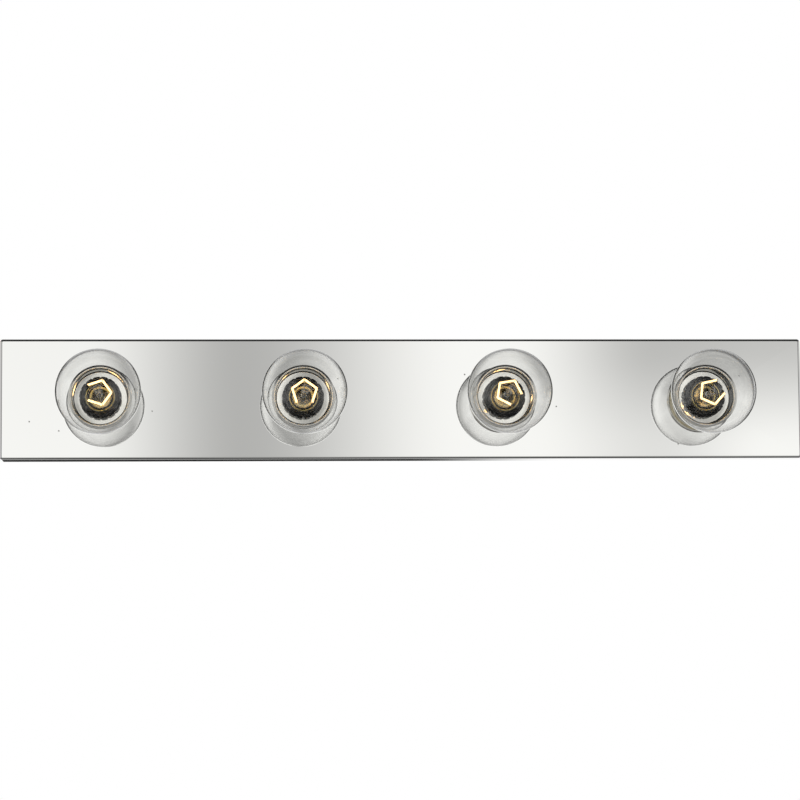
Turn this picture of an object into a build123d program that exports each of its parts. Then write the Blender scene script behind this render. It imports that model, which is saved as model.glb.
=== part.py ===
"""Vanity light bar: a chrome box cover over a steel wall pan, with four globe lamps in chrome cups.

Every piece is drawn with X along the bar, Y up and Z out of the wall, and is turned upright when it is
written, so that the part stands with +Z up, its front towards -Y and its wall plane at Y = 0.
"""
import os
from math import atan2, cos, radians, sin, sqrt

from build123d import *

# Bar: chrome cover
bar_length = 762.0
bar_height = 114.3
bar_depth = 25.4
cover_sheet = 0.8
cover_edge_radius = 2.4
cover_corner_radius = 3.0

# Wall pan behind the cover
pan_sheet = 0.9
pan_flange = 16.0
pan_bend_radius = 1.8
pan_gap = 0.5
supply_hole_diameter = 22.2
box_slot_spacing = 88.9
box_slot_width = 4.8
box_slot_length = 14.3
wall_hole_spacing_x = 685.8
wall_hole_spacing_y = 76.2
wall_hole_diameter = 5.2
access_hole_diameter = 11.0

# Bushing in the supply hole
bushing_bore = 17.0
bushing_flange_diameter = 27.0
bushing_flange = 1.6
bushing_fit = 0.05

# Lamp places along the bar
lamp_count = 4
lamp_pitch = 190.5

# Socket straps, spot-welded to the pan, with one screw up into each socket
strap_length = 78.0
strap_width = 26.0
strap_deck = 44.0
strap_sheet = 1.2
strap_height = 6.0
strap_slope = 3.0
strap_bend_radius = 1.5
screw_diameter = 4.1
screw_reach = 7.0
screw_head_diameter = 8.0
screw_head = 2.4
screw_clearance = 0.1

# Sockets
socket_base_diameter = 40.0
socket_shoulder_diameter = 48.0
socket_shoulder = 3.0
socket_neck_diameter = 36.0
socket_neck_rise = 19.0
socket_rim_radius = 0.8
cover_hole_clearance = 0.5
shell_wall = 0.4
shell_fit = 0.05
shell_setback = 1.5
shell_floor_hole = 16.0
thread_clearance = 0.35

# Sprung centre contacts
tongue_rise = 4.4
tongue_width = 5.0
tongue_length = 10.0
tongue_sheet = 0.5
tongue_bend_radius = 0.9
tongue_gap = 0.05

# Ring nuts that clamp cups and cover
ring_wall = 2.2
ring_height = 10.0
ring_fit = 0.1
ring_edge_radius = 0.6
ring_flutes = 16
ring_flute_diameter = 1.8

# Chrome cups
cup_rim_diameter = 62.0
cup_height = 22.0
cup_sheet = 0.8
cup_bead_diameter = 4.4
cup_floor_radius = 1.6
cup_bead_turn = 265.0

# Lamps: screw base
lamp_depth = 21.0
base_thread_diameter = 26.05
base_wall = 0.35
base_height = 25.5
base_foot = 7.3
base_foot_diameter = 20.0
base_taper = 2.6
base_rim_diameter = 27.2
base_rim = 1.8
base_flare = 1.6
base_bead_diameter = 1.0
insulator_gap = 0.2
insulator_lip = 1.2
tip_diameter = 9.6
tip_height = 2.0
tip_dome = 1.3

# Lamps: blown globe
globe_diameter = 79.4
glass_wall = 0.8
neck_diameter = 24.8
neck_blend_radius = 14.0
neck_foot = 19.0
neck_clear = 0.5

# Lamps: stem, wires and filament
stem_flare_gap = 0.05
stem_flare_height = 8.0
stem_tube_diameter = 8.4
stem_tube_length = 12.0
stem_press = 5.0
stem_rod_diameter = 3.4
stem_button_diameter = 6.2
button_setback = 12.0
filament_setback = 9.0
filament_corner_count = 5
filament_radius = 12.0
filament_coil_diameter = 2.0
filament_bend_radius = 1.6
support_wire_diameter = 0.6
lead_wire_diameter = 0.8
lead_spread = 2.2
lamp_turns = (180.0, 270.0, 315.0, 30.0)

# Wiring
wire_diameter = 2.4
wire_fit = 0.05
wire_seat = 6.0
link_offset = 8.0
tail_offset = 14.0
wire_rise = 4.0
tail_run = 14.0
tail_jog = 10.0
tail_bend_radius = 6.0
nut_offset = 26.0
nut_length = 22.0
nut_mouth_diameter = 12.0
nut_tip_diameter = 8.0
nut_wall = 2.0
nut_depth = 15.0
nut_tip_radius = 2.0

# Earth screw and its welded nut
ground_x = 66.0
ground_y = -30.0
ground_nut_across = 8.0
ground_nut_height = 5.0
ground_screw_diameter = 4.1
ground_screw_reach = 4.0
ground_screw_head_diameter = 9.0
ground_screw_head = 2.6
ground_screw_slot = 1.2

# Shares that roundings may take of what they round
tightest_bend = 0.25
widest_rounding = 0.4
head_rounding = 0.33

# Levels out of the wall
cover_back = bar_depth - cover_sheet
strap_top = pan_sheet + strap_height
socket_front = bar_depth + socket_neck_rise
lamp_tip = socket_front - lamp_depth
socket_floor = lamp_tip - tongue_rise
wire_level = strap_top + wire_rise

# Radii that mating pieces share
shell_inner = base_thread_diameter / 2 + thread_clearance
shell_outer = shell_inner + shell_wall
socket_bore = shell_outer + shell_fit
socket_neck = socket_neck_diameter / 2
cover_hole = socket_neck + cover_hole_clearance
neck_inner = neck_diameter / 2 - glass_wall

# Heights on the lamp's axis, measured from its tip
neck_top = base_height + neck_clear
globe_radius = globe_diameter / 2
blend_center = neck_diameter / 2 + neck_blend_radius
globe_center = neck_top + sqrt((globe_radius + neck_blend_radius) ** 2 - blend_center**2)
filament_level = globe_center - filament_setback
button_level = globe_center - button_setback

lamp_places = [(n - (lamp_count - 1) / 2) * lamp_pitch for n in range(lamp_count)]


def spun(outline):
    """Revolves an outline drawn as (radius, height) round the piece's own axis."""
    return revolve(Plane.XZ * make_face(outline), Axis.Z)


def spun_corners(*corners):
    return spun(Polyline(*corners, close=True))


def rod(start, end, diameter):
    """A straight round bar between two points."""
    run = Vector(end) - Vector(start)
    foot = Plane(origin=start, z_dir=run)
    return foot * Cylinder(diameter / 2, run.length, align=(Align.CENTER, Align.CENTER, Align.MIN))


def drill(diameter, low, high):
    """A round bar or bore on the piece's own axis, between two levels."""
    return rod((0, 0, low), (0, 0, high), diameter)


def rounded_tray(length, height, depth, corner_radius, edge_radius, rounded_end):
    """A block with rounded corners and one rounded end, 0 for the wall side and -1 for the front."""
    block = Box(length, height, depth, align=(Align.CENTER, Align.CENTER, Align.MIN))
    block = fillet(block.edges().filter_by(Axis.Z), corner_radius)
    return fillet(block.faces().sort_by(Axis.Z)[rounded_end].edges(), edge_radius)


def inner_radius(radius, sheet):
    """Inside radius of a bend, which stays round on a thick sheet."""
    return max(radius - sheet, tightest_bend * sheet)


def front_cover():
    outside = rounded_tray(bar_length, bar_height, bar_depth, cover_corner_radius, cover_edge_radius, -1)
    inside = rounded_tray(
        bar_length - 2 * cover_sheet,
        bar_height - 2 * cover_sheet,
        cover_back,
        inner_radius(cover_corner_radius, cover_sheet),
        inner_radius(cover_edge_radius, cover_sheet),
        -1,
    )
    cover = outside - inside
    for x in lamp_places:
        cover -= Pos(x, 0, 0) * drill(2 * cover_hole, 0, bar_depth)
    return cover


def wiring_pan():
    length = bar_length - 2 * (cover_sheet + pan_gap)
    height = bar_height - 2 * (cover_sheet + pan_gap)
    outside = rounded_tray(length, height, pan_flange, pan_bend_radius, pan_bend_radius, 0)
    bend = inner_radius(pan_bend_radius, pan_sheet)
    inside = rounded_tray(length - 2 * pan_sheet, height - 2 * pan_sheet, pan_flange, bend, bend, 0)
    pan = outside - Pos(0, 0, pan_sheet) * inside
    pan -= drill(supply_hole_diameter, 0, pan_sheet)
    slot = extrude(SlotOverall(box_slot_length, box_slot_width), pan_sheet)
    for side in (-1, 1):
        pan -= Pos(side * box_slot_spacing / 2, 0, 0) * slot
    for place in GridLocations(wall_hole_spacing_x, wall_hole_spacing_y, 2, 2):
        pan -= place * drill(wall_hole_diameter, 0, pan_sheet)
    for x in lamp_places:
        pan -= Pos(x, 0, 0) * drill(access_hole_diameter, 0, pan_sheet)
    return pan


def entry_bushing():
    bore = bushing_bore / 2
    sleeve = supply_hole_diameter / 2 - bushing_fit
    flange = bushing_flange_diameter / 2
    flange_top = pan_sheet + bushing_flange
    return spun_corners(
        (bore, 0), (sleeve, 0), (sleeve, pan_sheet), (flange, pan_sheet), (flange, flange_top),
        (bore, flange_top),
    )


def socket_strap():
    foot = pan_sheet
    deck = strap_top - strap_sheet
    half_deck = strap_deck / 2
    ramp = half_deck + strap_slope
    half = strap_length / 2
    underside = FilletPolyline(
        (-half, foot), (-ramp, foot), (-half_deck, deck), (half_deck, deck), (ramp, foot), (half, foot),
        radius=strap_bend_radius,
    )
    section = make_face(offset(underside, amount=strap_sheet, side=Side.LEFT))
    strap = extrude(Plane.XZ * section, strap_width / 2, both=True)
    return strap - drill(screw_diameter + 2 * screw_clearance, 0, strap_top)


def socket_screw():
    head_top = strap_top - strap_sheet
    shank = drill(screw_diameter, head_top, strap_top + screw_reach)
    head = drill(screw_head_diameter, head_top - screw_head, head_top)
    head = fillet(head.faces().sort_by(Axis.Z)[0].edges(), head_rounding * screw_head)
    return shank + head


def socket_body():
    base = socket_base_diameter / 2
    shoulder = socket_shoulder_diameter / 2
    shoulder_foot = cover_back - socket_shoulder
    outline = make_face(
        Polyline(
            (0, strap_top), (base, strap_top), (base, shoulder_foot), (shoulder, shoulder_foot),
            (shoulder, cover_back), (socket_neck, cover_back), (socket_neck, socket_front),
            (socket_bore, socket_front), (socket_bore, socket_floor), (0, socket_floor), close=True,
        )
    )
    rim = outline.vertices().group_by(Axis.Y)[-1]
    outline = fillet(rim, min(socket_rim_radius, widest_rounding * (socket_neck - socket_bore)))
    body = revolve(Plane.XZ * outline, Axis.Z)
    body -= drill(screw_diameter, strap_top, strap_top + screw_reach)
    for y in (-tail_offset, -link_offset, link_offset, tail_offset):
        for side in (-1, 1):
            body -= wire_hole(side, y)
    return body


def wire_seat_x(y):
    """Distance from a socket's axis to the bottom of its wire hole at height y."""
    return sqrt((socket_base_diameter / 2) ** 2 - y**2) - wire_seat


def wire_hole(side, y):
    bottom = (side * wire_seat_x(y), y, wire_level)
    mouth = (side * socket_base_diameter, y, wire_level)
    return rod(bottom, mouth, wire_diameter + 2 * wire_fit)


def socket_shell():
    top = socket_front - shell_setback
    floor = socket_floor + shell_wall
    hole = shell_floor_hole / 2
    return spun_corners(
        (hole, socket_floor), (shell_outer, socket_floor), (shell_outer, top), (shell_inner, top),
        (shell_inner, floor), (hole, floor),
    )


def center_contact():
    """A leaf folded back over its own foot, with its free end just under the lamp's tip."""
    reach = tongue_length / 2
    leaf_top = lamp_tip - tongue_gap
    leaf = FilletPolyline(
        (reach, socket_floor), (-reach, socket_floor), (-reach, leaf_top), (reach / 2, leaf_top),
        radius=tongue_bend_radius,
    )
    section = make_face(offset(leaf, amount=tongue_sheet, side=Side.RIGHT))
    return extrude(Plane.XZ * section, tongue_width / 2, both=True)


def socket_ring():
    inner = socket_neck + ring_fit
    outer = inner + ring_wall
    foot = bar_depth + cup_sheet
    top = foot + ring_height
    ring = spun_corners((inner, foot), (outer, foot), (outer, top), (inner, top))
    rounding = min(ring_edge_radius, widest_rounding * ring_wall)
    ring = fillet(ring.faces().sort_by(Axis.Z)[-1].edges(), rounding)
    for place in PolarLocations(outer, ring_flutes):
        ring -= place * drill(min(ring_flute_diameter, ring_wall), foot, top)
    return ring


def socket_cup():
    """One spun sheet: a floor on the cover, a straight wall, and a rim rolled outwards into a bead."""
    bead = cup_bead_diameter / 2
    wall = cup_rim_diameter / 2 - cup_bead_diameter
    floor = bar_depth + cup_sheet
    bead_level = bar_depth + cup_height - bead
    inside = FilletPolyline((cover_hole, floor), (wall, floor), (wall, bead_level), radius=cup_floor_radius)
    rim = JernArc(start=(wall, bead_level), tangent=(0, 1), radius=bead, arc_size=-cup_bead_turn)
    return spun(offset(inside + rim, amount=cup_sheet, side=Side.RIGHT))


def on_lamp(shape):
    """Moves a piece drawn from the lamp's tip to the lamp's seat in its socket."""
    return Pos(0, 0, lamp_tip) * shape


def bulb_tip_contact():
    radius = tip_diameter / 2
    dome = TangentArc((0, 0), (radius, tip_dome), tangent=(1, 0))
    sides = Polyline((radius, tip_dome), (radius, tip_height), (0, tip_height), (0, 0))
    return on_lamp(spun(dome + sides))


def bulb_insulator():
    rim = base_foot_diameter / 2 - base_wall - insulator_gap
    top = base_foot + insulator_lip
    return on_lamp(
        spun_corners((0, tip_height), (tip_diameter / 2, tip_height), (rim, base_foot), (rim, top), (0, top))
    )


def bulb_base_shell():
    """Thin drawn brass, tapered at its foot and flared to a rim that is rolled in over the neck."""
    foot = base_foot_diameter / 2
    barrel = base_thread_diameter / 2
    rim = base_rim_diameter / 2
    rim_foot = base_height - base_rim
    outside = Polyline(
        (foot, base_foot), (barrel, base_foot + base_taper), (barrel, rim_foot - base_flare),
        (rim, rim_foot), (rim, base_height),
    )
    shell = spun(offset(outside, amount=base_wall, side=Side.LEFT, kind=Kind.INTERSECTION))
    bead = base_bead_diameter / 2
    roll = Pos(rim - bead, base_height - bead) * Circle(bead)
    return on_lamp(shell + revolve(Plane.XZ * roll, Axis.Z))


def globe_line(inset):
    """Half outline of the globe from its neck's foot to its crown, drawn inset from the outer face."""
    neck = neck_diameter / 2 - inset
    ball = globe_radius - inset
    join = atan2(globe_center - neck_top, blend_center)
    meet = (ball * cos(join), globe_center - ball * sin(join))
    blend = neck_blend_radius + inset
    half = join / 2
    blend_middle = (blend_center - blend * cos(half), neck_top + blend * sin(half))
    equator_middle = (ball * cos(join / 3), globe_center + ball * sin(join / 3))
    line = Line((neck, neck_foot), (neck, neck_top))
    line += ThreePointArc((neck, neck_top), blend_middle, meet)
    line += ThreePointArc(meet, equator_middle, (0, globe_center + ball))
    return line


def bulb_globe():
    crown = Line((0, globe_center + globe_radius), (0, globe_center + globe_radius - glass_wall))
    foot = Line((neck_inner, neck_foot), (neck_diameter / 2, neck_foot))
    return on_lamp(spun(globe_line(0) + crown + globe_line(glass_wall) + foot))


def filament_corners(turn):
    """The five corners of the open filament, from one lead round to the other."""
    step = 360.0 / filament_corner_count
    first = turn + step / 2
    bearings = [radians(first + n * step) for n in range(filament_corner_count)]
    return [Vector(filament_radius * cos(a), filament_radius * sin(a), filament_level) for a in bearings]


def bulb_wires(turn):
    corners = filament_corners(turn)
    wires = []
    for corner in corners[1:-1]:
        wires.append(rod((0, 0, button_level), corner, support_wire_diameter))
    press_top = neck_foot + stem_flare_height + stem_tube_length
    for corner in (corners[0], corners[-1]):
        out = Vector(corner.X, corner.Y, 0).normalized() * lead_spread
        wires.append(rod((out.X, out.Y, press_top), corner, lead_wire_diameter))
    return wires


def bulb_stem(wires):
    """A glass trumpet welded into the neck, pinched over the leads and drawn up to a rod and a button."""
    flare = neck_inner - stem_flare_gap
    tube = stem_tube_diameter / 2
    tube_foot = neck_foot + stem_flare_height
    tube_top = tube_foot + stem_tube_length
    rod_radius = stem_rod_diameter / 2
    button = stem_button_diameter / 2
    button_foot = button_level - sqrt(button**2 - rod_radius**2)
    hollow = tube - glass_wall
    outside = TangentArc((tube, tube_foot), (flare, neck_foot), tangent=(0, -1))
    outside += Polyline(
        (tube, tube_foot), (tube, tube_top), (rod_radius, tube_top + stem_press), (rod_radius, button_foot)
    )
    outside += ThreePointArc((rod_radius, button_foot), (button, button_level), (0, button_level + button))
    inside_foot = (flare - glass_wall, neck_foot)
    inside = Polyline(
        (0, button_level + button), (0, tube_top), (hollow, tube_top - hollow), (hollow, tube_foot)
    )
    inside += TangentArc((hollow, tube_foot), inside_foot, tangent=(0, -1))
    inside += Line(inside_foot, (flare, neck_foot))
    stem = spun(outside + inside)
    for wire in wires:
        stem -= wire
    return stem


def bulb_filament(turn, wires):
    path = FilletPolyline(*filament_corners(turn), radius=filament_bend_radius)
    section = Plane(origin=path @ 0, z_dir=path % 0) * Circle(filament_coil_diameter / 2)
    coil = sweep(section, path=path)
    for wire in wires:
        coil -= wire
    return coil


def wire_set(side):
    """Leads on one side of the sockets: a link between each pair of neighbours, and a tail to its cap."""
    links = []
    y = side * link_offset
    for left, right in zip(lamp_places, lamp_places[1:]):
        start = (left + wire_seat_x(y), y, wire_level)
        links.append(rod(start, (right - wire_seat_x(y), y, wire_level), wire_diameter))
    source = lamp_places[lamp_count // 2 - 1]
    y = side * tail_offset
    start_x = source + wire_seat_x(y)
    corner_x = source + socket_shoulder_diameter / 2 + tail_run
    end_y = side * nut_offset
    path = FilletPolyline(
        (start_x, y, wire_level), (corner_x, y, wire_level), (corner_x + tail_jog, end_y, wire_level),
        (nut_mouth_x() + nut_depth, end_y, wire_level), radius=tail_bend_radius,
    )
    section = Plane(origin=path @ 0, z_dir=path % 0) * Circle(wire_diameter / 2)
    return links + [sweep(section, path=path)]


def nut_mouth_x():
    source = lamp_places[lamp_count // 2 - 1]
    return source + socket_shoulder_diameter / 2 + tail_run + 2 * tail_jog


def wire_nut(side):
    """A tapered cap on the end of a tail, bored for the wires that will be twisted into it."""
    mouth = nut_mouth_diameter / 2
    tip = nut_tip_diameter / 2
    bore = wire_diameter / 2 + wire_fit
    outline = make_face(
        Polyline(
            (bore, 0), (bore, nut_depth), (0, nut_depth), (0, nut_length), (tip, nut_length),
            (mouth, nut_wall), (mouth, 0), close=True,
        )
    )
    crown = outline.vertices().sort_by(Axis.Y)[-2:].sort_by(Axis.X)[-1]
    outline = fillet(crown, nut_tip_radius)
    cap = revolve(Plane.XZ * outline, Axis.Z)
    place = (nut_mouth_x(), side * nut_offset, wire_level)
    return Plane(origin=place, x_dir=(0, 1, 0), z_dir=(1, 0, 0)) * cap


def ground_nut():
    block = extrude(RegularPolygon(ground_nut_across / 2, 6, major_radius=False), ground_nut_height)
    block = Pos(ground_x, ground_y, pan_sheet) * block
    return block - Pos(ground_x, ground_y, 0) * drill(ground_screw_diameter, 0, pan_sheet + ground_nut_height)


def ground_screw():
    seat = pan_sheet + ground_nut_height
    head_top = seat + ground_screw_head
    head = drill(ground_screw_head_diameter, seat, head_top)
    head = fillet(head.faces().sort_by(Axis.Z)[-1].edges(), head_rounding * ground_screw_head)
    slot = Box(ground_screw_head_diameter, ground_screw_slot, ground_screw_head)
    head -= Pos(0, 0, head_top) * slot
    shank = drill(ground_screw_diameter, seat - ground_screw_reach, seat)
    return Pos(ground_x, ground_y, 0) * (head + shank)


def write(name, *solids):
    """Turns a piece upright and writes it, one solid or a group of like solids."""
    upright = [Rot(90, 0, 0) * solid for solid in solids]
    shape = upright[0] if len(upright) == 1 else Compound(children=upright)
    export_step(shape, f"parts/{name}.step")


def at_each_lamp(shape):
    return [Pos(x, 0, 0) * shape for x in lamp_places]


os.makedirs("parts", exist_ok=True)

write("front_cover", front_cover())
write("wiring_pan", wiring_pan())
write("entry_bushing", entry_bushing())
write("socket_straps", *at_each_lamp(socket_strap()))
write("socket_screws", *at_each_lamp(socket_screw()))
write("center_contacts", *at_each_lamp(center_contact()))
write("white_wires", *wire_set(1))
write("black_wires", *wire_set(-1))
write("wire_nuts", wire_nut(1), wire_nut(-1))
write("ground_nut", ground_nut())
write("ground_screw", ground_screw())

repeated = {
    "socket_{}_body": socket_body(),
    "socket_{}_shell": socket_shell(),
    "socket_{}_ring": socket_ring(),
    "socket_{}_cup": socket_cup(),
    "bulb_{}_tip_contact": bulb_tip_contact(),
    "bulb_{}_insulator": bulb_insulator(),
    "bulb_{}_base_shell": bulb_base_shell(),
    "bulb_{}_globe": bulb_globe(),
}
for number, x in enumerate(lamp_places, start=1):
    for name, shape in repeated.items():
        write(name.format(number), Pos(x, 0, 0) * shape)
    turn = lamp_turns[(number - 1) % len(lamp_turns)]
    wires = bulb_wires(turn)
    seat = Pos(x, 0, lamp_tip)
    write(f"bulb_{number}_wires", *[seat * wire for wire in wires])
    write(f"bulb_{number}_stem", seat * bulb_stem(wires))
    write(f"bulb_{number}_filament", seat * bulb_filament(turn, wires))
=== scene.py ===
from math import atan2, cos, pi, radians, sin, sqrt

import bmesh
import bpy
from mathutils import Matrix, Quaternion, Vector


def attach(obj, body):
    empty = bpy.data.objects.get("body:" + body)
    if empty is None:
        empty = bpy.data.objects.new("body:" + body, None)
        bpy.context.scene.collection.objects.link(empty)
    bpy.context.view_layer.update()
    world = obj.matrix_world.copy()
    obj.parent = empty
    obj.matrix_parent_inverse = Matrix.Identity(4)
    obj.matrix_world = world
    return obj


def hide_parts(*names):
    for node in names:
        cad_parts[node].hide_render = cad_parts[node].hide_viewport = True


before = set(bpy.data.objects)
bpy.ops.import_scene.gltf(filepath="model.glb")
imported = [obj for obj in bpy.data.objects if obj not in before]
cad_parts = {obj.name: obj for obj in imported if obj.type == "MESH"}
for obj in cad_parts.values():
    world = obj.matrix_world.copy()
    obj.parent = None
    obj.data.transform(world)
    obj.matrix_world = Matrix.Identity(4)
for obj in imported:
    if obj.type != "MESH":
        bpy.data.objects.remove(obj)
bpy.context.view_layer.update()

# Camera: a long lens three metres out, a little below the bar and left of its middle, so that
# each globe leans up and outwards over its cup.
scene = bpy.context.scene
scene.view_settings.view_transform = "Standard"
lens = bpy.data.cameras.new("camera")
lens.sensor_width = 36.0
lens.lens = 141.16
camera = bpy.data.objects.new("camera", lens)
camera.location = (-0.1737, -2.983, -0.2953)
aim = Vector((-0.0030, -0.0254, -0.0012))
roll = Quaternion((0.0, 0.0, 1.0), radians(-0.405))
camera.rotation_euler = ((aim - camera.location).to_track_quat("-Z", "Y") @ roll).to_euler()
scene.collection.objects.link(camera)
scene.camera = camera


# Wiring pan: a shallow tray of zinc-plated steel sheet that screws to the wall and carries the
# straps, the wiring and the cover. The plating shows a fine spangle and the rubs of handling.
def node(tree, kind, inputs=(), **settings):
    """Adds a shader node; inputs go to its sockets as values or as links."""
    made = tree.nodes.new("ShaderNode" + kind)
    for key, value in settings.items():
        setattr(made, key, value)
    for key, value in dict(inputs).items():
        if isinstance(value, bpy.types.NodeSocket):
            tree.links.new(value, made.inputs[key])
        else:
            made.inputs[key].default_value = value
    return made


def math(tree, operation, *values):
    return node(tree, "Math", dict(enumerate(values)), operation=operation).outputs[0]


def noise(tree, place, scale, detail, distortion=0.0):
    inputs = {"Vector": place, "Scale": scale, "Detail": detail, "Distortion": distortion}
    return node(tree, "TexNoise", inputs).outputs[0]


def between(tree, value, low, high, to_low=0.0, to_high=1.0):
    """Eases a value from one range into another, held at both ends."""
    made = node(tree, "MapRange", {0: value, 1: low, 2: high, 3: to_low, 4: to_high})
    made.interpolation_type = "SMOOTHSTEP"
    return made.outputs[0]


def blend(tree, factor, first, second, kind="MIX"):
    inputs = {0: factor, 6: first, 7: second}
    return node(tree, "Mix", inputs, data_type="RGBA", blend_type=kind).outputs[2]


def bump(tree, height, strength, distance):
    inputs = {"Strength": strength, "Distance": distance, "Height": height}
    return node(tree, "Bump", inputs).outputs[0]


def looks(name, outputs, **inputs):
    """Starts a node group that gives a surface its varying colour, roughness and relief."""
    tree = bpy.data.node_groups.new(name, "ShaderNodeTree")
    for key, value in inputs.items():
        label = key.replace("_", " ")
        kind = "NodeSocketColor" if isinstance(value, tuple) else "NodeSocketFloat"
        socket = tree.interface.new_socket(label, in_out="INPUT", socket_type=kind)
        socket.default_value = value
    for label in outputs:
        kind = "NodeSocketColor" if "Color" in label else "NodeSocketFloat"
        if label == "Normal":
            kind = "NodeSocketVector"
        tree.interface.new_socket(label, in_out="OUTPUT", socket_type=kind)
    given = tree.nodes.new("NodeGroupInput").outputs
    result = tree.nodes.new("NodeGroupOutput").inputs
    return tree, given, result


def finish(name, group, **values):
    """A Principled material whose varying sockets come from a group; the rest are plain values."""
    made = bpy.data.materials.new(name)
    made.use_nodes = True
    tree = made.node_tree
    bsdf = tree.nodes["Principled BSDF"]
    surface = tree.nodes.new("ShaderNodeGroup")
    surface.node_tree = group
    for output in surface.outputs:
        tree.links.new(output, bsdf.inputs[output.name])
    for key, value in values.items():
        label = key.replace("_", " ")
        holder = surface if label in surface.inputs else bsdf
        holder.inputs[label].default_value = value
    return made


def coat(material, *names):
    for name in names:
        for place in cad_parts[name].material_slots:
            place.material = material


spangle, given, result = looks(
    "spangle", ["Base Color", "Roughness", "Normal"], Color=(0.6, 0.6, 0.6, 1.0), Gloss=0.3
)
oxide = (0.12, 0.12, 0.125, 1.0)
where = node(spangle, "TexCoord").outputs["Object"]
crystal = node(spangle, "TexVoronoi", {"Vector": where, "Scale": 160.0}).outputs["Color"]
grey = node(spangle, "SeparateColor", {0: crystal}).outputs[0]
cloud = noise(spangle, where, 22.0, 5.0)
along = node(spangle, "Mapping", {0: where, 3: (6.0, 90.0, 420.0)}).outputs[0]
rub = noise(spangle, along, 3.0, 3.0)
cloudy = math(spangle, "MULTIPLY", cloud, 0.65)
shade = math(spangle, "ADD", math(spangle, "MULTIPLY", grey, 0.35), cloudy)
dull = blend(spangle, 0.45, given["Color"], oxide)
spangle.links.new(blend(spangle, shade, dull, given["Color"]), result["Base Color"])
roughness = math(spangle, "MULTIPLY_ADD", shade, 0.22, given["Gloss"])
spangle.links.new(math(spangle, "MULTIPLY_ADD", rub, 0.06, roughness), result["Roughness"])
spangle.links.new(bump(spangle, rub, 0.25, 0.0001), result["Normal"])

zinc = finish("zinc_plate", spangle, Color=(0.62, 0.63, 0.65, 1.0), Gloss=0.26, Metallic=1.0)
coat(zinc, "wiring_pan")

# Socket straps, their screws and the welded earth nut: thicker steel under the same plating, which
# comes out a little darker and rougher on the pressed and rolled pieces.
strap_zinc = finish("strap_zinc", spangle, Color=(0.54, 0.55, 0.57, 1.0), Gloss=0.32, Metallic=1.0)
coat(strap_zinc, "socket_straps", "socket_screws", "ground_nut")

# Earth screw: a slotted steel screw with green dye over its plating, driven into the nut that is
# welded inside the pan.
green = finish("green_screw", spangle, Color=(0.03, 0.30, 0.10, 1.0), Gloss=0.30, Metallic=0.7)
coat(green, "ground_screw")

# Centre contacts: leaves of spring bronze folded back over their own feet, which lie on each
# socket's floor. The free end comes up just under the lamp's tip.
bronze = finish("spring_bronze", spangle, Color=(0.66, 0.42, 0.20, 1.0), Gloss=0.22, Metallic=1.0)
coat(bronze, "center_contacts")

# Entry bushing: a snap-in nylon ring that keeps the supply cable off the sheet's edge. It is the
# first of the moulded plastics, which share a fine grain, flow marks and pale specks of dust, which
# on the black phenolic are also painted glints.
moulded, given, result = looks(
    "moulded", ["Base Color", "Roughness", "Normal"],
    Color=(0.8, 0.8, 0.8, 1.0), Gloss=0.3, Dust=0.1,
)
black = (0.0, 0.0, 0.0, 1.0)
lint_and_glint_grey = (0.55, 0.53, 0.5, 1.0)
where = node(moulded, "TexCoord").outputs["Object"]
flow = noise(moulded, where, 60.0, 4.0, 0.8)
grain = noise(moulded, where, 1400.0, 2.0)
speck = noise(moulded, where, 900.0, 1.0)
# Pale grey specks: dust, and where Dust is set high, painted glints as well.
dust_and_glints = math(moulded, "MULTIPLY", between(moulded, speck, 0.62, 0.74), given["Dust"])
deep = blend(moulded, 0.25, given["Color"], black)
tint = blend(moulded, between(moulded, flow, 0.35, 0.65), deep, given["Color"])
moulded.links.new(blend(moulded, dust_and_glints, tint, lint_and_glint_grey), result["Base Color"])
roughness = math(moulded, "MULTIPLY_ADD", flow, 0.12, given["Gloss"])
moulded.links.new(math(moulded, "ADD", roughness, dust_and_glints), result["Roughness"])
moulded.links.new(bump(moulded, grain, 0.12, 0.00005), result["Normal"])

nylon = finish("nylon", moulded, Color=(0.82, 0.80, 0.74, 1.0), Gloss=0.35)
coat(nylon, "entry_bushing")

# Wiring: stranded leads in soft white and black insulation, pushed into the sockets' wire holes,
# with orange screw-on caps where the supply joins.
white_cover = finish("white_insulation", moulded, Color=(0.85, 0.84, 0.80, 1.0), Gloss=0.38)
coat(white_cover, "white_wires")
black_cover = finish("black_insulation", moulded, Color=(0.015, 0.015, 0.016, 1.0), Gloss=0.34)
coat(black_cover, "black_wires")
orange = finish("orange_caps", moulded, Color=(0.85, 0.23, 0.03, 1.0), Gloss=0.36)
coat(orange, "wire_nuts")


# Socket bodies: black moulded phenolic, shouldered under the cover and threaded outside for the
# ring nut. Each stands on its strap and comes up through its own hole in the cover.
# Profiles are in millimetres, as a radius from the lamp's axis and a height out of the wall.
def line_to(bm, pen, radius, out):
    """Draws a profile on to a point."""
    pen = bmesh.ops.extrude_vert_indiv(bm, verts=[pen])["verts"][0]
    pen.co = (radius, -out, 0.0)
    return pen


def arc_round(bm, pen, radius, out, turn, steps=8):
    """Draws a profile on round a centre, by a turn in degrees."""
    swept = bmesh.ops.spin(
        bm, geom=[pen], cent=(radius, -out, 0.0), axis=(0, 0, 1), angle=-radians(turn), steps=steps
    )
    return next(v for v in swept["geom_last"] if isinstance(v, bmesh.types.BMVert))


def draw(bm, start, *moves):
    """Draws a profile: two numbers go straight to a point, three or four turn round a centre."""
    pen = bm.verts.new((start[0], -start[1], 0.0))
    for move in moves:
        pen = (line_to if len(move) == 2 else arc_round)(bm, pen, *move)


def spin_profile(bm, steps, **settings):
    """Spins a drawn profile once round the lamp's axis."""
    bmesh.ops.spin(
        bm, geom=bm.verts[:] + bm.edges[:], cent=(0, 0, 0), axis=(0, 1, 0), angle=2 * pi,
        steps=steps, **settings,
    )
    bmesh.ops.remove_doubles(bm, verts=bm.verts, dist=0.0005)


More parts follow.
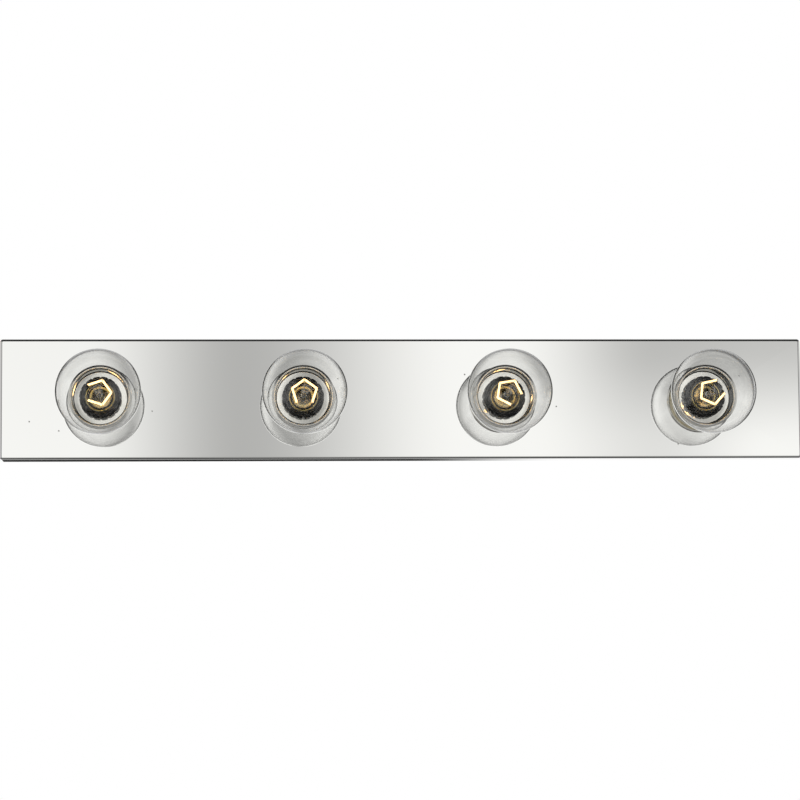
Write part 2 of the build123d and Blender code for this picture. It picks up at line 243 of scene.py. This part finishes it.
def turned(start, *moves, steps=96):
    """A closed profile spun into a ring or a solid."""
    bm = bmesh.new()
    draw(bm, start, *moves, start)
    spin_profile(bm, steps, use_merge=True)
    return bm


def thread(low, high, pitch, root, crest, steps=72, points=10):
    """A rolled screw thread: a waved profile spun once with the pitch's advance, cut off level."""
    bm = bmesh.new()
    waves = int((high - low) / pitch) + 3
    middle = (root + crest) / 2
    first = low - 1.5 * pitch
    pen = bm.verts.new((root, -first, 0.0))
    for n in range(1, waves * points + 1):
        radius = middle - (crest - root) / 2 * cos(2 * pi * n / points)
        pen = line_to(bm, pen, radius, first + n * pitch / points)
    spin_profile(bm, steps, dvec=(0, -pitch / steps, 0))
    for end, away in ((low, 1), (high, -1)):
        every = bm.verts[:] + bm.edges[:] + bm.faces[:]
        bmesh.ops.bisect_plane(
            bm, geom=every, plane_co=(0, -end, 0), plane_no=(0, away, 0), clear_outer=True
        )
    return bm


def join(*meshes):
    """Puts several drawn meshes into the first one."""
    for extra in meshes[1:]:
        held = bpy.data.meshes.new("held")
        extra.to_mesh(held)
        meshes[0].from_mesh(held)
        bpy.data.meshes.remove(held)
        extra.free()
    return meshes[0]


def piece(name, bm, x, body, slot, material, *nodes, keen=35.0):
    """Sets a mesh drawn in millimetres at x along the bar as a piece that stands for CAD nodes."""
    made = bm.copy()
    bmesh.ops.recalc_face_normals(made, faces=made.faces)
    bmesh.ops.translate(made, vec=(x, 0, 0), verts=made.verts)
    bmesh.ops.scale(made, vec=(0.001, 0.001, 0.001), verts=made.verts)
    for face in made.faces:
        face.smooth = True
    for edge in made.edges:
        edge.smooth = edge.calc_face_angle(0.0) < radians(keen)
    mesh = bpy.data.meshes.new(name)
    made.to_mesh(mesh)
    made.free()
    mesh.materials.append(material)
    shown = bpy.data.objects.new(name, mesh)
    scene.collection.objects.link(shown)
    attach(shown, body)
    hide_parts(*nodes)
    return shown


lamp_pitch = 190.5
lamps = {number: (number - 2.5) * lamp_pitch for number in (1, 2, 3, 4)}
# The phenolic's Dust is set high: its pale specks are partly dust and partly painted glints,
# standing in for the sparkle of highlights on the black rings.
phenolic = finish(
    "black_phenolic", moulded, Color=(0.006, 0.0055, 0.005, 1.0), Gloss=0.25, Dust=0.5,
    Specular_IOR_Level=0.15,
)
moulding = turned(
    (0.0, 6.9), (20.0, 6.9), (20.0, 21.6), (24.0, 21.6), (24.0, 24.6), (17.4, 24.6), (17.4, 42.6),
    (18.0, 42.9), (18.0, 43.6), (17.2, 43.6, 90.0), (14.6, 44.4), (14.6, 43.63, 90.0),
    (13.83, 19.0), (0.0, 19.0),
)
moulding = join(moulding, thread(24.7, 42.7, 2.0, 17.4, 17.95))
for number, x in lamps.items():
    stands_for = f"socket_{number}_body"
    piece(f"socket_body_{number}", moulding, x, "root", "black_phenolic", phenolic, stands_for)

# Screw shells: thin aluminium cups with the lamp thread rolled into them, pressed into each
# socket body. Their floors are open for the centre contacts.
lamp_thread = 3.63
shell_metal = finish(
    "screw_shell", spangle, Color=(0.78, 0.78, 0.80, 1.0), Gloss=0.2, Metallic=1.0
)
shell = join(
    turned(
        (8.0, 19.0), (13.77, 19.0), (13.77, 42.9), (13.4, 42.9), (13.66, 42.2), (13.66, 19.4),
        (8.0, 19.4),
    ),
    thread(19.6, 42.4, lamp_thread, 13.65, 13.2),
)
for number, x in lamps.items():
    stands_for = f"socket_{number}_shell"
    piece(f"screw_shell_{number}", shell, x, "root", "socket_aluminium", shell_metal, stands_for)

# Front cover: one pressed box of mirror-chromed steel, 30 by 4.5 inches, with its edges bent back
# to the wall and a hole for each socket. The plating carries a faint haze, dust and hairlines.
plating, given, result = looks(
    "plating", ["Base Color", "Roughness", "Normal"],
    Color=(0.9, 0.9, 0.9, 1.0), Gloss=0.01, Dust=1.0,
)
grime = (0.2, 0.19, 0.17, 1.0)
where = node(plating, "TexCoord").outputs["Object"]
haze = noise(plating, where, 11.0, 4.0)
flat = node(plating, "SeparateXYZ", {0: where}).outputs
flat = node(plating, "CombineXYZ", {0: flat[0], 1: flat[2]}).outputs[0]
cell = node(plating, "TexVoronoi", {"Vector": flat, "Scale": 34.0}, voronoi_dimensions="2D")
chosen = node(plating, "SeparateColor", {0: cell.outputs["Color"]}).outputs[0]
fleck = math(plating, "SUBTRACT", 1.0, between(plating, cell.outputs["Distance"], 0.018, 0.034))
fleck = math(plating, "MULTIPLY", fleck, math(plating, "GREATER_THAN", chosen, 0.90))
fleck = math(plating, "MULTIPLY", fleck, given["Dust"])
slant = (0.0, radians(4.0), 0.0)
along = node(plating, "Mapping", {0: where, 2: slant, 3: (9.0, 9.0, 700.0)}).outputs[0]
hair = between(plating, noise(plating, along, 2.2, 2.0), 0.70, 0.76)
hair = math(plating, "MULTIPLY", hair, given["Dust"])
soiled = blend(plating, math(plating, "MULTIPLY", fleck, 0.5), given["Color"], grime)
plating.links.new(soiled, result["Base Color"])
hazy = between(plating, haze, 0.45, 0.75)
roughness = math(plating, "MULTIPLY_ADD", hazy, 0.015, given["Gloss"])
roughness = math(plating, "MULTIPLY_ADD", hair, 0.05, roughness)
plating.links.new(math(plating, "MULTIPLY_ADD", fleck, 0.3, roughness), result["Roughness"])
plating.links.new(bump(plating, fleck, 0.15, 0.00002), result["Normal"])

chrome = finish(
    "polished_chrome", plating, Color=(0.93, 0.93, 0.915, 1.0), Gloss=0.004, Metallic=1.0
)
cover_size = Vector((762.0, 25.4, 114.3))
corner_radius = 3.0
edge_radius = 2.4
socket_hole = 18.5
cover_gauge = 0.8
cover = bmesh.new()
stand = Matrix.Translation((0.0, -cover_size.y / 2, 0.0)) @ Matrix.Diagonal((*cover_size, 1.0))
bmesh.ops.create_cube(cover, size=1.0, matrix=stand)
back = [f for f in cover.faces if f.normal.y > 0.5]
bmesh.ops.delete(cover, geom=back, context="FACES_ONLY")
corners = [e for e in cover.edges if abs(e.verts[0].co.y - e.verts[1].co.y) > 1.0]
bmesh.ops.bevel(
    cover, geom=corners, offset=corner_radius, segments=6, profile=0.5, affect="EDGES", material=-1
)
face = max(cover.faces, key=lambda f: -f.calc_center_median().y)
bmesh.ops.bevel(
    cover, geom=face.edges[:], offset=edge_radius, segments=12, profile=0.5, affect="EDGES",
    material=-1,
)
face = max(cover.faces, key=lambda f: -f.calc_center_median().y)
outline = face.edges[:]
bmesh.ops.delete(cover, geom=[face], context="FACES_ONLY")
for x in lamps.values():
    hole = Matrix.Translation((x, -cover_size.y, 0.0)) @ Matrix.Rotation(pi / 2, 4, "X")
    rim = bmesh.ops.create_circle(
        cover, cap_ends=False, radius=socket_hole, segments=72, matrix=hole
    )["verts"]
    outline += {e for v in rim for e in v.link_edges}
bmesh.ops.triangle_fill(cover, edges=outline, use_beauty=True)
bmesh.ops.recalc_face_normals(cover, faces=cover.faces)
if min(cover.faces, key=lambda f: f.calc_center_median().y).normal.y > 0:
    bmesh.ops.reverse_faces(cover, faces=cover.faces)
bmesh.ops.solidify(cover, geom=cover.faces[:], thickness=cover_gauge)
sheet = piece("cover_sheet", cover, 0.0, "root", "polished_chrome", chrome, "front_cover")
sheet.modifiers.new("even_normals", "WEIGHTED_NORMAL").keep_sharp = True

# Lamp cups: spun steel, chromed, each a flat floor on the cover, a straight wall and a rim rolled
# outwards into a bead. Spinning leaves faint rings round the lamp's axis.
around, _, result = looks("around_lamp", ["Radius", "Out"])
spacing = lamp_pitch / 1000.0
where = node(around, "SeparateXYZ", {0: node(around, "TexCoord").outputs["Object"]}).outputs
across = math(around, "SUBTRACT", math(around, "WRAP", where[0], spacing, 0.0), spacing / 2)
across = math(around, "POWER", across, 2.0)
reach = math(around, "ADD", across, math(around, "POWER", where[2], 2.0))
around.links.new(math(around, "SQRT", reach), result["Radius"])
around.links.new(where[1], result["Out"])

spun, given, result = looks(
    "spun_metal", ["Base Color", "Roughness", "Normal"],
    Color=(0.9, 0.9, 0.9, 1.0), Gloss=0.03, Lines=0.2, Tarnish=0.0, Dull_Within=0.0,
)
# Dark brown, for tarnish on the brass and also for painted shade inside the lamp base.
tarnish_and_shade = (0.12, 0.075, 0.025, 1.0)
lamp_axis = spun.nodes.new("ShaderNodeGroup")
lamp_axis.node_tree = around
radius = lamp_axis.outputs["Radius"]
place = node(spun, "CombineXYZ", {0: radius, 1: lamp_axis.outputs["Out"]}).outputs[0]
ring = noise(spun, place, 1500.0, 3.0)
cloud = noise(spun, node(spun, "TexCoord").outputs["Object"], 120.0, 5.0, 0.6)
stain_and_shade = math(spun, "MULTIPLY", between(spun, cloud, 0.42, 0.68), given["Tarnish"])
# Inside a given radius the colour turns dark brown: painted shade in the hollow of the base, with
# the basing cement's stain.
inside = math(spun, "SUBTRACT", given["Dull Within"], radius)
stain_and_shade = math(spun, "MAXIMUM", stain_and_shade, between(spun, inside, 0.0, 0.0003))
spun.links.new(blend(spun, stain_and_shade, given["Color"], tarnish_and_shade), result["Base Color"])
lined = math(spun, "MULTIPLY", given["Lines"], 0.1)
roughness = math(spun, "MULTIPLY_ADD", ring, lined, given["Gloss"])
spun.links.new(math(spun, "MULTIPLY_ADD", stain_and_shade, 0.25, roughness), result["Roughness"])
spun.links.new(bump(spun, ring, given["Lines"], 0.00002), result["Normal"])

# The cups' chrome is tinted warm cream: painted light, standing for the glow of the lit filaments
# reflected in the cups.
cup_chrome = finish(
    "cup_chrome", spun, Color=(0.97, 0.955, 0.91, 1.0), Gloss=0.02, Lines=0.12, Metallic=1.0
)
bead = (28.8, 45.2)
bead_inside = 1.4
bead_turn = 265.0
bead_end = radians(180.0 - bead_turn)
cup = turned(
    (socket_hole, 26.2), (25.6, 26.2), (25.6, 27.2, 90.0, 8), (26.6, bead[1]),
    (*bead, -bead_turn, 32),
    (bead[0] + bead_inside * cos(bead_end), bead[1] + bead_inside * sin(bead_end)),
    (*bead, bead_turn, 24), (27.4, 27.8), (25.0, 27.8, -90.0, 8), (socket_hole, 25.4), steps=128,
)
for number, x in lamps.items():
    stands_for = f"socket_{number}_cup"
    piece(f"lamp_cup_{number}", cup, x, "root", "cup_chrome", cup_chrome, stands_for)

# Ring nuts: fluted rings of the sockets' black phenolic, screwed down each socket's neck to clamp
# the cup and the cover against the socket's shoulder.
nut_radius = 20.3
flutes = 16
flute_radius = 0.9
nut = turned(
    (18.1, 26.2), (nut_radius, 26.2), (nut_radius, 35.6), (19.7, 35.6, 90.0, 5), (18.7, 36.2),
    (18.7, 35.6, 90.0, 5), steps=flutes * 14,
)
flute_step = 2 * pi / flutes
for v in nut.verts:
    radius = sqrt(v.co.x**2 + v.co.z**2)
    offset = (atan2(v.co.z, v.co.x) + flute_step / 2) % flute_step - flute_step / 2
    depth = sqrt(max(flute_radius**2 - (offset * nut_radius) ** 2, 0.0))
    if radius > nut_radius - depth:
        v.co.xz = v.co.xz * ((nut_radius - depth) / radius)
for number, x in lamps.items():
    stands_for = f"socket_{number}_ring"
    piece(f"ring_nut_{number}", nut, x, "root", "black_phenolic", phenolic, stands_for)

# Lamp tips: a solder-covered brass eyelet at the foot of each lamp, set in black glass that
# insulates it from the screw base.
solder = finish("solder", spangle, Color=(0.52, 0.52, 0.53, 1.0), Gloss=0.34, Metallic=1.0)
tip = turned(
    (0.0, 23.4), (2.0, 23.45), (4.0, 24.0), (4.8, 24.8), (4.8, 25.4), (0.0, 25.4), steps=48
)
vitrite = finish("black_glass", moulded, Color=(0.01, 0.01, 0.014, 1.0), Gloss=0.06, Dust=0.05)
insulator = turned((0.0, 25.4), (4.8, 25.4), (9.45, 30.7), (9.45, 31.9), (0.0, 31.9), steps=64)
for number, x in lamps.items():
    body = f"bulb_{number}_tip"
    stands_for = f"bulb_{number}_tip_contact"
    piece(f"lamp_tip_{number}", tip, x, body, "solder", solder, stands_for)
    stands_for = f"bulb_{number}_insulator"
    piece(f"lamp_insulator_{number}", insulator, x, body, "black_glass", vitrite, stands_for)

# Lamp bases: thin drawn brass with the screw thread rolled in, flared to a rim at the top, cemented
# to the globe's neck. The outside is a little tarnished; the inside is painted dark brown, partly
# the basing cement's stain and partly painted shade in the hollow of the base.
brass = finish(
    "base_brass", spun, Color=(0.98, 0.80, 0.34, 1.0), Gloss=0.10, Lines=0.25, Tarnish=0.3,
    Dull_Within=0.0128, Metallic=1.0,
)
tree = brass.node_tree
bsdf = tree.nodes["Principled BSDF"]
tarnish_and_shade_colour = bsdf.inputs["Base Color"].links[0].from_socket
# Faces seen from inside the brass take the same dark brown: painted shade inside the shell, with
# the cement's stain.
inside = node(tree, "NewGeometry").outputs["Backfacing"]
tree.links.new(blend(tree, inside, tarnish_and_shade_colour, tarnish_and_shade), bsdf.inputs["Base Color"])
base = join(
    turned(
        (10.0, 30.7), (12.45, 33.3), (12.4, 34.2), (12.0, 34.2), (12.05, 33.4), (9.65, 30.9),
        steps=72,
    ),
    turned(
        (12.45, 41.4), (12.8, 42.2), (13.025, 42.6), (13.025, 45.5), (13.6, 47.1), (13.6, 48.7),
        (13.4, 48.7, 90.0, 4), (12.8, 48.9), (12.8, 48.7, 90.0, 4), (12.6, 47.4), (12.675, 45.6),
        (12.675, 42.7), (12.05, 41.4), steps=96,
    ),
    thread(33.2, 42.3, lamp_thread, 12.36, 13.02),
)
for number, x in lamps.items():
    stands_for = f"bulb_{number}_base_shell"
    piece(f"lamp_base_{number}", base, x, f"bulb_{number}", "brass", brass, stands_for)

# Globes: clear blown soda glass, 79.4 mm across with a 0.8 mm wall, drawn in to a short neck that
# sits in the brass base. The blowing leaves faint waves, which are stronger round the neck.
blown, given, result = looks(
    "blown_glass", ["Base Color", "Normal"], Color=(1.0, 1.0, 1.0, 1.0), Waves=0.1
)
film_grey = (0.5, 0.52, 0.5, 1.0)
where = node(blown, "TexCoord").outputs["Object"]
wave = noise(blown, where, 38.0, 1.0)
out = node(blown, "SeparateXYZ", {0: where}).outputs[1]
near_neck = between(blown, out, -0.080, -0.060, 1.0, 16.0)
wavy = math(blown, "MULTIPLY", near_neck, given["Waves"])
film = between(blown, noise(blown, where, 16.0, 5.0), 0.4, 0.7)
thin = blend(blown, 0.015, given["Color"], film_grey)
blown.links.new(blend(blown, film, given["Color"], thin), result["Base Color"])
blown.links.new(bump(blown, wave, wavy, 0.0004), result["Normal"])

clear = finish(
    "clear_glass", blown, Color=(1.0, 1.0, 0.995, 1.0), Waves=0.006, Roughness=0.0, IOR=1.5,
    Transmission_Weight=1.0,
)
neck_foot = 42.4
neck_top = 49.4
shoulder = 26.4
shoulder_turn = 60.55
globe_middle = 96.163
globe_inside = 38.9
ball_turn = 90.0 + shoulder_turn
globe = turned(
    (12.4, neck_foot), (12.4, neck_top), (shoulder, neck_top, -shoulder_turn, 16),
    (0.0, globe_middle, ball_turn, 56), (0.0, globe_middle + globe_inside),
    (0.0, globe_middle, -ball_turn, 56), (shoulder, neck_top, shoulder_turn, 16),
    (11.6, neck_foot), steps=128,
)
for number, x in lamps.items():
    stands_for = f"bulb_{number}_globe"
    piece(f"lamp_globe_{number}", globe, x, f"bulb_{number}", "clear_glass", clear, stands_for)

# Stems: lead glass, a trumpet welded to the neck's foot, a tube pinched over the lead wires, and a
# rod that ends in a button for the support wires. Sealing has browned the trumpet.
stem_glass = finish(
    "stem_glass", blown, Color=(0.95, 0.965, 0.95, 1.0), Waves=0.02, Roughness=0.0, IOR=1.56,
    Transmission_Weight=1.0,
)
seal_brown = (0.22, 0.14, 0.06, 1.0)
tree = stem_glass.node_tree
bsdf = tree.nodes["Principled BSDF"]
drawn = bsdf.inputs["Base Color"].links[0].from_socket
out = node(tree, "SeparateXYZ", {0: node(tree, "TexCoord").outputs["Object"]}).outputs[1]
sealed = between(tree, out, -0.052, -0.047)
tree.links.new(blend(tree, sealed, drawn, seal_brown), bsdf.inputs["Base Color"])
pinch = 62.4
button_out = 84.16
stem = turned(
    (11.5, neck_foot), (11.5, 50.4, -82.0, 10), (4.2, 50.6), (4.2, pinch), (1.7, 67.4),
    (1.7, 81.57), (0.0, button_out, 146.7, 16), (0.0, pinch), (2.4, 61.4), (3.4, 60.0),
    (3.4, 50.6), (10.7, neck_foot), steps=48,
)
for number, x in lamps.items():
    stands_for = f"bulb_{number}_stem"
    piece(f"lamp_stem_{number}", stem, x, f"bulb_{number}", "stem_glass", stem_glass, stands_for)

# Filament mounts: two nickel lead wires from the pinch and three molybdenum supports from the
# button, each with an eye round the filament at one corner of its open pentagon.
fine_wire = finish(
    "support_wire", spangle, Color=(0.50, 0.48, 0.45, 1.0), Gloss=0.25, Metallic=1.0
)
button = Vector((0.0, -button_out, 0.0))
support_radius = 0.3
support_short = 1.2
support_eye_reach = 1.3
support_eye_radius = 0.25
lead_radius = 0.4
lead_spread = 2.2
lead_eye_reach = 1.15
filament_out = 87.16
filament_reach = 12.0
opening = {1: 180.0, 2: 270.0, 3: 315.0, 4: 30.0}


def pentagon(number):
    """The five corners of one lamp's filament, starting beside its opening."""
    bearings = [radians(opening[number] + 36.0 + 72.0 * n) for n in range(5)]
    return [
        Vector((filament_reach * cos(a), -filament_out, filament_reach * sin(a))) for a in bearings
    ]


def straight_wire(bm, start, end, radius):
    run = end - start
    turn = run.to_track_quat("Z", "Y").to_matrix().to_4x4()
    bmesh.ops.create_cone(
        bm, cap_ends=True, segments=12, radius1=radius, radius2=radius, depth=run.length,
        matrix=Matrix.Translation((start + end) / 2) @ turn,
    )


def wire_section(bm, place, radius, segments):
    """A ring of edges, ready to be spun into a round or a coil of wire."""
    verts = bmesh.ops.create_circle(
        bm, cap_ends=False, radius=radius, segments=segments, matrix=place
    )["verts"]
    return verts + list({e for v in verts for e in v.link_edges})


def eye(bm, corner, reach, radius):
    """A round of wire about the filament at a corner."""
    tangent = Vector((-corner.z, 0.0, corner.x)).normalized()
    outwards = Vector((corner.x, 0.0, corner.z)).normalized()
    across = Matrix.Translation(corner + outwards * reach)
    across @= tangent.cross(outwards).to_track_quat("Y", "Z").to_matrix().to_4x4()
    bmesh.ops.spin(
        bm, geom=wire_section(bm, across, radius, 8), cent=corner, axis=tangent, angle=2 * pi,
        steps=16, use_merge=True,
    )


for number, x in lamps.items():
    corners = pentagon(number)
    mount = bmesh.new()
    for corner in corners[1:-1]:
        short_of = corner - (corner - button).normalized() * support_short
        straight_wire(mount, button, short_of, support_radius)
        eye(mount, corner, support_eye_reach, support_eye_radius)
    for corner in (corners[0], corners[-1]):
        foot = Vector((corner.x, 0.0, corner.z)).normalized() * lead_spread
        straight_wire(mount, foot + Vector((0.0, -pinch, 0.0)), corner, lead_radius)
        eye(mount, corner, lead_eye_reach, lead_radius)
    stands_for = f"bulb_{number}_wires"
    piece(f"lamp_mount_{number}", mount, x, f"bulb_{number}", "support_wire", fine_wire, stands_for)

# Filaments: tungsten wire wound into a fine coil, hung through the eyes round the five corners and
# clamped in the leads. It is lit, and glows warm white.
hot, given, result = looks(
    "hot_wire", ["Base Color", "Roughness", "Emission Color"], Glow=(1.0, 1.0, 1.0, 1.0)
)
dark_tungsten = (0.16, 0.15, 0.14, 1.0)
pale_tungsten = (0.3, 0.28, 0.26, 1.0)
patch = noise(hot, node(hot, "TexCoord").outputs["Object"], 260.0, 2.0)
hot.links.new(blend(hot, patch, dark_tungsten, pale_tungsten), result["Base Color"])
hot.links.new(between(hot, patch, 0.3, 0.7, 0.3, 0.5), result["Roughness"])
cooler = blend(hot, 0.33, given["Glow"], black)
glow = blend(hot, between(hot, patch, 0.25, 0.75), cooler, given["Glow"])
hot.links.new(glow, result["Emission Color"])

tungsten = finish(
    "tungsten", hot, Glow=(1.0, 0.66, 0.30, 1.0), Emission_Strength=3.4, Metallic=1.0
)
coil_radius = 0.8
coil_wire = 0.3
coil_pitch = 0.72
steps_a_turn = 12
for number, x in lamps.items():
    corners = pentagon(number)
    filament = bmesh.new()
    for start, end in zip(corners, corners[1:]):
        run = end - start
        turns = round(run.length / coil_pitch)
        steps = turns * steps_a_turn
        place = Matrix.Translation(start) @ run.to_track_quat("X", "Z").to_matrix().to_4x4()
        stand = Matrix.Translation((0.0, 0.0, coil_radius)) @ Matrix.Rotation(pi / 2, 4, "X")
        bmesh.ops.spin(
            filament, geom=wire_section(filament, place @ stand, coil_wire, 6), cent=start,
            axis=run.normalized(), angle=2 * pi * turns, steps=steps, dvec=run / steps,
        )
    stands_for = f"bulb_{number}_filament"
    piece(
        f"lamp_filament_{number}", filament, x, f"bulb_{number}", "tungsten", tungsten, stands_for
    )

# Room: a plain white studio, worked out from what the plating mirrors. The camera sees white.
# Polished pieces see two rows of soft bright panels ahead with a dark ring round them, grey walls
# at the sides that turn dark high up and low down, a grey table below, and white behind.
room = bpy.data.worlds.new("studio")
room.use_nodes = True
scene.world = room
tree = room.node_tree
sky = tree.nodes["Background"]
white = (1.0, 1.0, 1.0, 1.0)
dark = (0.03, 0.03, 0.03, 1.0)
near_walls = (0.50, 0.50, 0.49, 1.0)
side_walls = (0.60, 0.60, 0.59, 1.0)
far_walls = (0.5, 0.5, 0.495, 1.0)
table_grey = (0.34, 0.34, 0.335, 1.0)
back_corners = (0.5, 0.5, 0.5, 1.0)
back_ceiling = (0.45, 0.45, 0.45, 1.0)
glass_ceiling = (0.16, 0.16, 0.16, 1.0)
panel_middle = (0.03, -0.99955, 0.0)
direction = node(tree, "TexCoord").outputs["Generated"]
right, inwards, up = node(tree, "SeparateXYZ", {0: direction}).outputs
ahead = math(tree, "MULTIPLY", inwards, -1.0)
height = math(tree, "ABSOLUTE", up)
facing = node(tree, "VectorMath", {0: direction, 1: panel_middle}, operation="DOT_PRODUCT")
angle = math(tree, "ARCCOSINE", facing.outputs["Value"])
bearing = math(tree, "ARCTAN2", right, ahead)
spot = node(tree, "MapRange", {0: bearing, 1: -0.10, 2: 0.20}).outputs[0]


def panels(*stops):
    """A row of panels from left to right, each stop a place and a brightness."""
    ramp = node(tree, "ValToRGB", {0: spot})
    ramp.color_ramp.interpolation = "EASE"
    for n, (place, bright) in enumerate(stops):
        stop = ramp.color_ramp.elements[n] if n < 2 else ramp.color_ramp.elements.new(place)
        stop.position = place
        stop.color = (bright, bright, bright * 0.985, 1.0)
    return ramp.outputs[0]


def walls(within, start, end, grey, low, high):
    """Past an angle from the panels come grey walls, dark where they rise or fall too far."""
    wall = blend(tree, between(tree, height, low, high), grey, dark)
    return blend(tree, between(tree, angle, start, end), within, wall)


def layer(value, start, end, until, gone):
    """One in a layer of directions, easing in from start to end and out from until to gone."""
    return math(
        tree, "MULTIPLY", between(tree, value, start, end), between(tree, value, gone, until)
    )


low_row = panels(
    (0.0, 1.0), (1.0, 1.0), (0.18, 0.98), (0.357, 0.48), (0.60, 1.0), (0.66, 1.0), (0.80, 0.80),
    (0.92, 1.0),
)
high_row = panels(
    (0.0, 0.98), (1.0, 0.60), (0.18, 0.96), (0.357, 0.48), (0.60, 1.0), (0.64, 1.0), (0.80, 0.54),
    (0.92, 0.58),
)
front = blend(tree, between(tree, up, 0.080, 0.117), low_row, high_row)
front = blend(tree, between(tree, angle, 0.215, 0.25), front, dark)
front = walls(front, 0.52, 0.60, near_walls, 0.30, 0.45)
front = walls(front, 0.80, 0.95, side_walls, 0.35, 0.55)
table = layer(up, -0.12, -0.22, -0.70, -0.85)
front = blend(tree, table, front, table_grey, "LIGHTEN")
front = walls(front, 1.20, 1.35, far_walls, 0.30, 0.50)
front = blend(tree, between(tree, ahead, -0.38, -0.25), back_corners, front)
behind = blend(tree, between(tree, height, 0.16, 0.36), white, back_ceiling)
left_of_middle = between(tree, math(tree, "ARCTAN2", right, inwards), 0.11, 0.06)
under = math(tree, "MULTIPLY", layer(up, -0.03, -0.06, -0.14, -0.20), left_of_middle)
behind = blend(tree, under, behind, dark)
around_bar = blend(tree, between(tree, ahead, -0.80, -0.60), behind, front)
seen = node(tree, "LightPath").outputs
both_walls = math(tree, "GREATER_THAN", seen["Transmission Depth"], 3.0)
unmirrored = math(tree, "LESS_THAN", seen["Glossy Depth"], 1.0)
through = math(tree, "MULTIPLY", seen["Is Transmission Ray"], both_walls)
through = math(tree, "MULTIPLY", through, unmirrored)
backdrop = blend(tree, between(tree, up, 0.16, 0.26), white, glass_ceiling)
around_bar = blend(tree, through, around_bar, backdrop)
tree.links.new(blend(tree, seen["Is Camera Ray"], around_bar, white), sky.inputs["Color"])
sky.inputs["Strength"].default_value = 1.0

# Floor: a pale sheet well below the bar that fades out into the white and keeps a soft shadow. It
# can be seen through the globes, but not in a mirror or from beneath.
floor_level = -0.46
floor_reach = 1.4
ground = bmesh.new()
bmesh.ops.create_grid(
    ground, x_segments=1, y_segments=1, size=floor_reach,
    matrix=Matrix.Translation((0.0, 0.0, floor_level)),
)
floor_mesh = bpy.data.meshes.new("floor")
ground.to_mesh(floor_mesh)
ground.free()
floor = bpy.data.objects.new("floor", floor_mesh)
scene.collection.objects.link(floor)
floor.visible_glossy = False
paper = bpy.data.materials.new("floor_paper")
paper.use_nodes = True
tree = paper.node_tree
bsdf = tree.nodes["Principled BSDF"]
bsdf.inputs["Base Color"].default_value = (0.94, 0.94, 0.94, 1.0)
bsdf.inputs["Roughness"].default_value = 0.9
where = node(tree, "TexCoord").outputs["Object"]
reach = node(tree, "VectorMath", {0: where}, operation="LENGTH").outputs["Value"]
beneath = node(tree, "NewGeometry").outputs["Backfacing"]
mirrored = math(tree, "GREATER_THAN", node(tree, "LightPath").outputs["Glossy Depth"], 0.5)
unseen = math(tree, "MAXIMUM", beneath, mirrored)
fade = math(tree, "MAXIMUM", between(tree, reach, 0.8, 1.35), unseen)
gone = tree.nodes.new("ShaderNodeBsdfTransparent")
mixed = node(tree, "MixShader", {0: fade, 1: bsdf.outputs[0], 2: gone.outputs[0]})
tree.links.new(mixed.outputs[0], tree.nodes["Material Output"].inputs["Surface"])
floor_mesh.materials.append(paper)

# Studio lamps: three broad soft boxes, two ahead and above and one behind, aimed at the bar and
# out of sight of the camera, mirrors and glass.
for name, stand, power, size in (
    ("key", (-1.3, -1.9, 1.7), 54.0, 1.3),
    ("fill", (1.6, -1.6, 0.9), 28.0, 1.6),
    ("back", (0.2, 1.8, 1.5), 32.0, 1.4),
):
    box = bpy.data.lights.new(name, "AREA")
    box.size = size
    box.energy = power
    lamp = bpy.data.objects.new(name, box)
    lamp.location = stand
    lamp.rotation_euler = (-Vector(stand)).to_track_quat("-Z", "Y").to_euler()
    lamp.visible_glossy = False
    lamp.visible_transmission = False
    lamp.visible_camera = False
    scene.collection.objects.link(lamp)

# Light paths: globe, stem and mirror stand one behind another, so light needs many bounces to
# come back out.
bounces = 24
for kind in ("max_bounces", "glossy_bounces", "transmission_bounces"):
    setattr(scene.cycles, kind, bounces)
